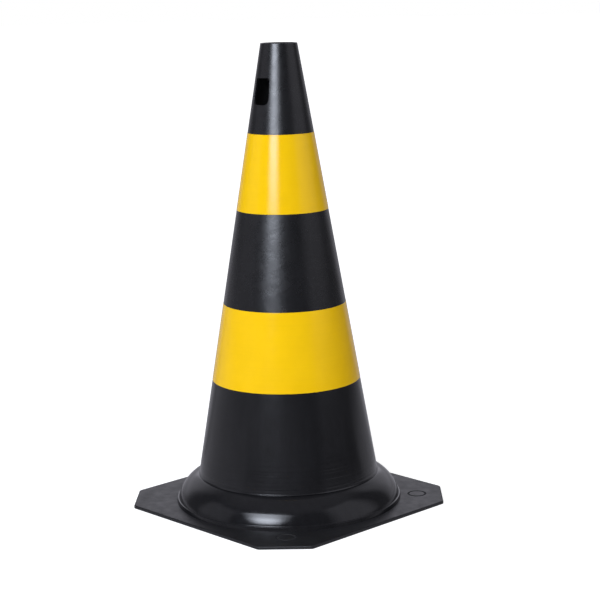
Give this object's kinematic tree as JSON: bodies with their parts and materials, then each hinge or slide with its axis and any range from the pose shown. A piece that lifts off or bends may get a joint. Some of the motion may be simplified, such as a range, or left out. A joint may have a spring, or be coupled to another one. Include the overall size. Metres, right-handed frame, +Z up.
{
  "type": "traffic cone",
  "caption": "Tall hollow traffic cone with bright bands and tape slots, pushed onto the spigot of a weighted octagonal base with a domed ring.",
  "frame": {"origin": "centre of the base plate's underside, on the floor", "axes": "+Z up along the cone's axis; the base plate's flats face +X, -X, +Y and -Y, and the tape slots face +Y and -Y"},
  "size_m": [0.418, 0.418, 0.75],
  "materials": {
    "plate_black": "satin black flexible plastic with a fine moulded grain",
    "cone_black": "semi-gloss black flexible plastic",
    "ballast_rubber": "matt recycled rubber crumb",
    "band_yellow": "satin safety yellow sleeve"
  },
  "bodies": {
    "base": {"base_plate": "plate_black", "base_ring": "cone_black", "ballast_ring": "ballast_rubber"},
    "cone": {"cone_body": "cone_black", "lower_band": "band_yellow", "upper_band": "band_yellow"}
  },
  "joints": [
    {"name": "cone_lift", "type": "slide", "parent": "base", "child": "cone", "axis": [0, 0, 1], "range_m": [0, 0.1]}
  ]
}
